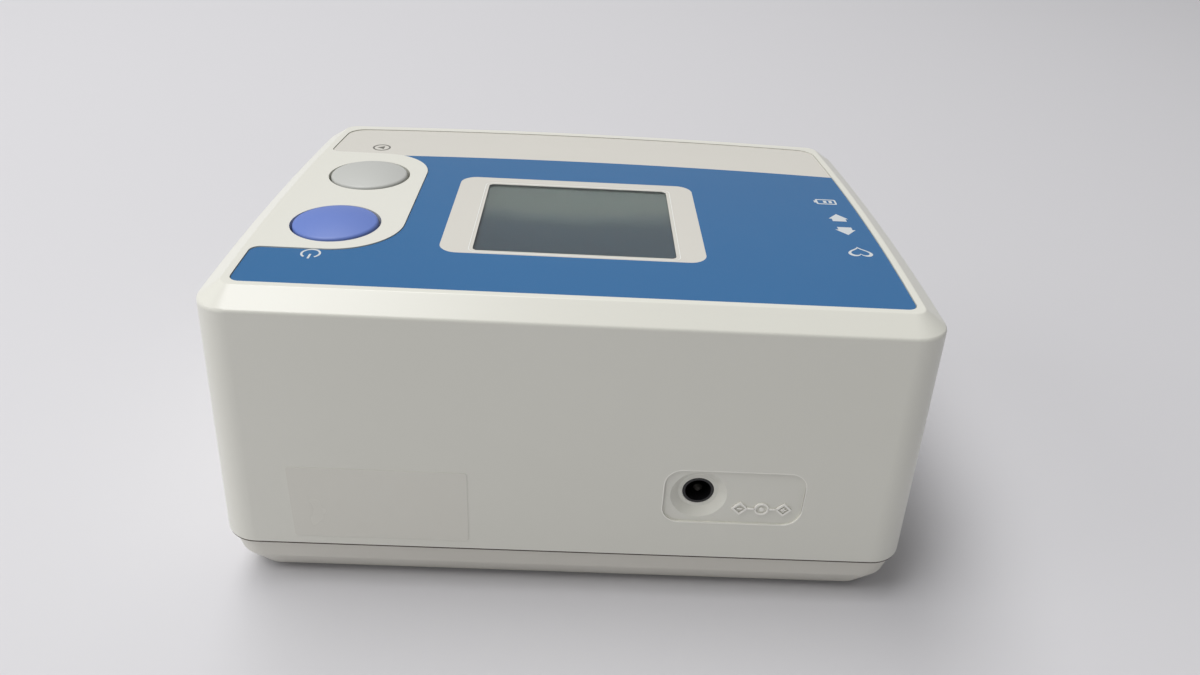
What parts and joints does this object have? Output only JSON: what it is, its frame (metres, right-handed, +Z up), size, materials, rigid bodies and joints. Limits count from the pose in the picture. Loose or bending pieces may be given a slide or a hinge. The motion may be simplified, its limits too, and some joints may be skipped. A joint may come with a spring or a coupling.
{
  "type": "upper arm blood pressure monitor",
  "caption": "Desk-top arm-cuff blood pressure monitor: drafted two-part case, sloping printed panel with a square display, two round push buttons, DC inlet and hose socket.",
  "frame": {"origin": "bottom centre of the case, on the plane of the rubber feet", "axes": "+Z up, +X to the user's right, -Y towards the user, the wall with the DC inlet faces +Y"},
  "size_m": [0.1576, 0.1166, 0.0767],
  "materials": {
    "case_plastic": "warm white moulded ABS, satin",
    "panel_film": "printed polycarbonate sheet, blue with a cream band",
    "clear_plastic": "clear polycarbonate",
    "lcd_glass": "unpowered liquid crystal display, grey-green",
    "black_plastic": "black moulded plastic",
    "white_plastic": "natural acetal",
    "grey_button": "light grey moulded plastic",
    "blue_button": "periwinkle blue moulded plastic",
    "switch_plunger": "moulded plastic",
    "circuit_board": "green solder mask",
    "silicone": "translucent silicone rubber",
    "rubber": "dark rubber",
    "steel": "zinc-plated steel",
    "motor_steel": "plated steel can",
    "nickel": "nickel-plated spring steel",
    "battery_sleeve": "dark shrink sleeve"
  },
  "bodies": {
    "housing": {"top_case": "case_plastic", "bottom_case": "case_plastic", "panel_overlay": "panel_film", "display_window": "clear_plastic", "lcd_glass": "lcd_glass", "lcd_holder": "black_plastic", "contact_strips": "silicone", "main_board": "circuit_board", "control_chip": "black_plastic", "buzzer": "black_plastic", "pressure_sensor": "black_plastic", "board_screws": "steel", "case_screws": "steel", "start_switch": "black_plastic", "power_switch": "black_plastic", "dc_jack": "black_plastic", "dc_pin": "nickel", "air_socket": "black_plastic", "socket_seal": "rubber", "socket_nut": "black_plastic", "air_manifold": "white_plastic", "air_tubes": "silicone", "pump_head": "white_plastic", "pump_motor": "motor_steel", "pump_mounts": "rubber", "release_valve": "black_plastic", "battery_cells": "battery_sleeve", "battery_contacts": "nickel", "battery_springs": "nickel", "rubber_feet": "rubber"},
    "start_button": {"start_button": "grey_button", "start_plunger": "switch_plunger"},
    "power_button": {"power_button": "blue_button", "power_plunger": "switch_plunger"},
    "battery_cover": {"battery_cover": "case_plastic"},
    "pump_drive": {"motor_shaft": "steel", "drive_crank": "white_plastic"},
    "valve_plunger": {"valve_plunger": "steel"}
  },
  "joints": [
    {"name": "start_press", "type": "slide", "parent": "housing", "child": "start_button", "axis": [0, 0.0537, -0.9986], "range_m": [0, 0.0008], "stiffness_N_per_m": 1500, "springref_m": -0.0002},
    {"name": "power_press", "type": "slide", "parent": "housing", "child": "power_button", "axis": [0, 0.0537, -0.9986], "range_m": [0, 0.0008], "stiffness_N_per_m": 1500, "springref_m": -0.0002},
    {"name": "cover_slide", "type": "slide", "parent": "housing", "child": "battery_cover", "axis": [0, -1, 0], "range_m": [0, 0.075]},
    {"name": "shaft_turn", "type": "hinge", "parent": "housing", "child": "pump_drive", "pos_m": [0.0525, -0.007, 0.0186], "axis": [0, 1, 0], "continuous": true},
    {"name": "valve_stroke", "type": "slide", "parent": "housing", "child": "valve_plunger", "axis": [0, 0, -1], "range_m": [0, 0.001], "stiffness_N_per_m": 300, "springref_m": -0.0002}
  ]
}
